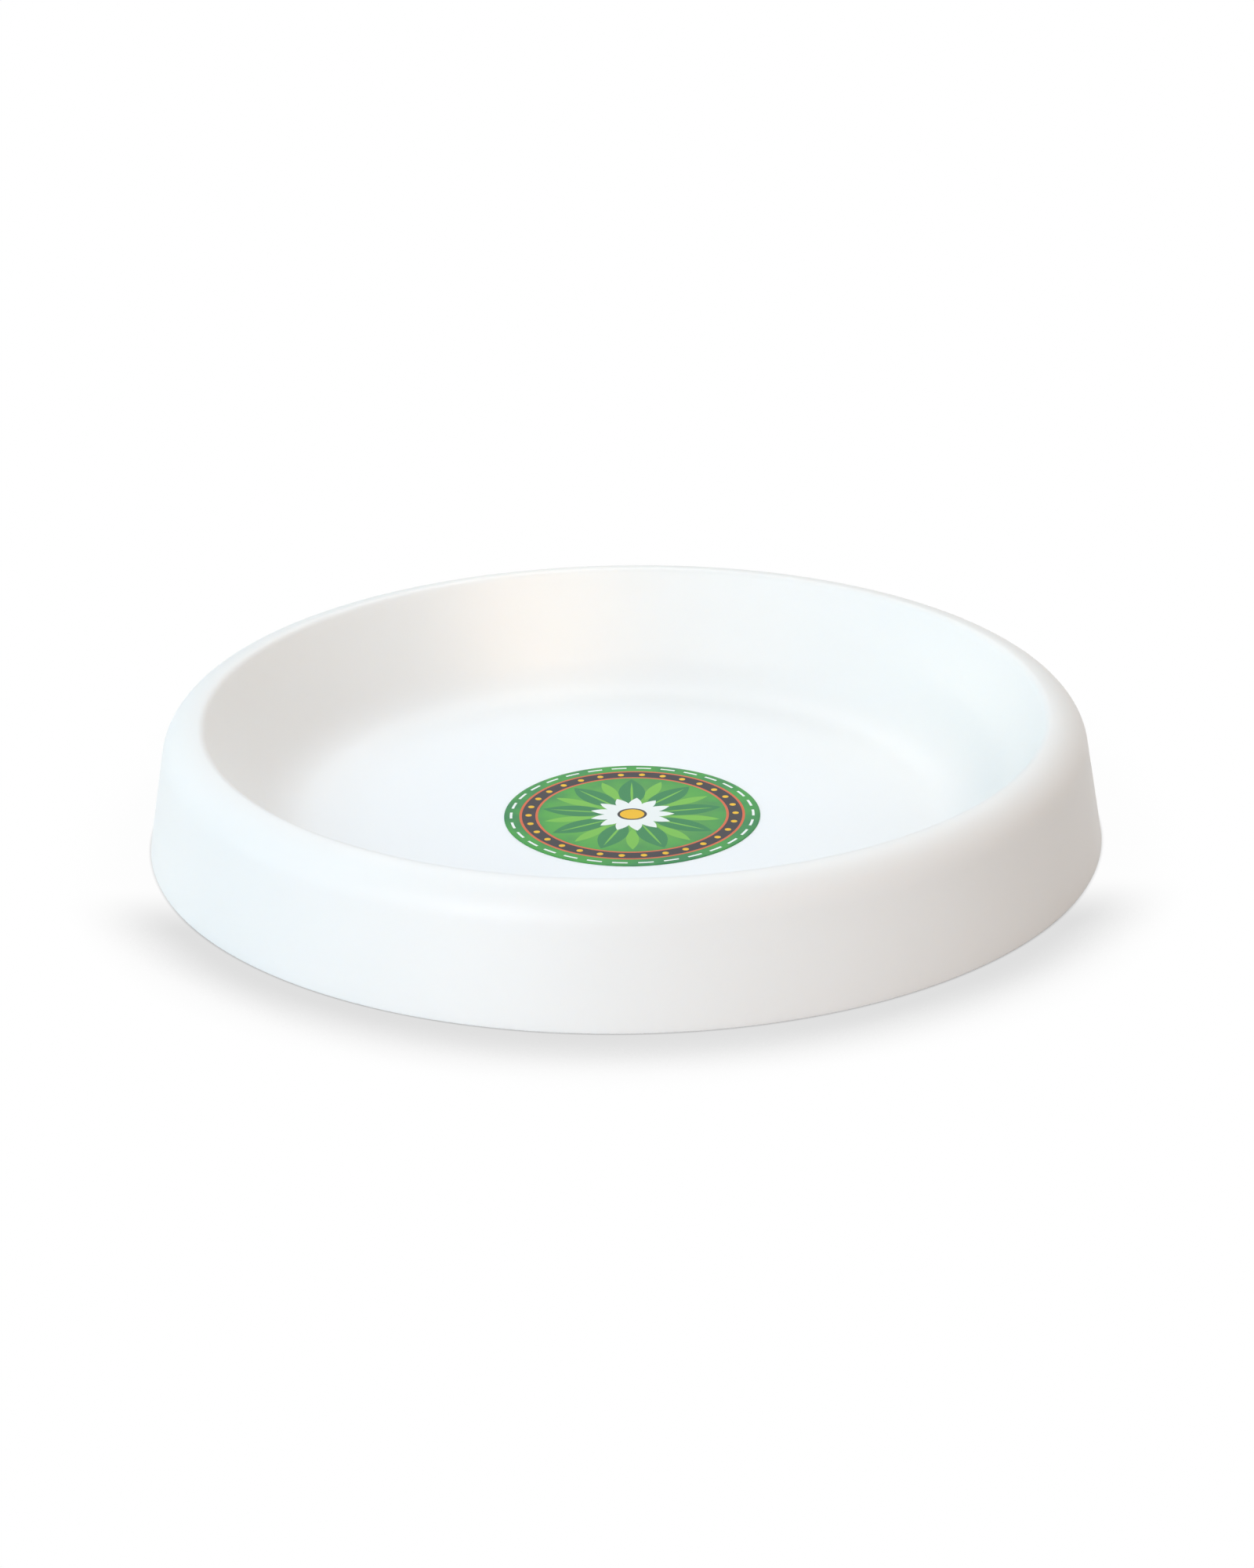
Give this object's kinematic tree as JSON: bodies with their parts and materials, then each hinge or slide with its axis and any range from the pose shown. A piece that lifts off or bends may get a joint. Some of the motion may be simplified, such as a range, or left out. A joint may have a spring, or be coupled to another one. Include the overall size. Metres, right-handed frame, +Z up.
{
  "type": "plant saucer",
  "caption": "Round white plastic plant saucer with a fat hollow rim, open below, and a round green printed label stuck on the dish floor.",
  "frame": {"origin": "centre of the foot ring, on the surface that the saucer stands on", "axes": "+Z up along the saucer's own axis; the picture looks along +Y with +X to the right"},
  "size_m": [0.3, 0.3, 0.04],
  "materials": {
    "polyethylene": "satin",
    "printed_label": "satin"
  },
  "bodies": {
    "root": {"saucer": "polyethylene", "label": "printed_label"}
  },
  "joints": []
}
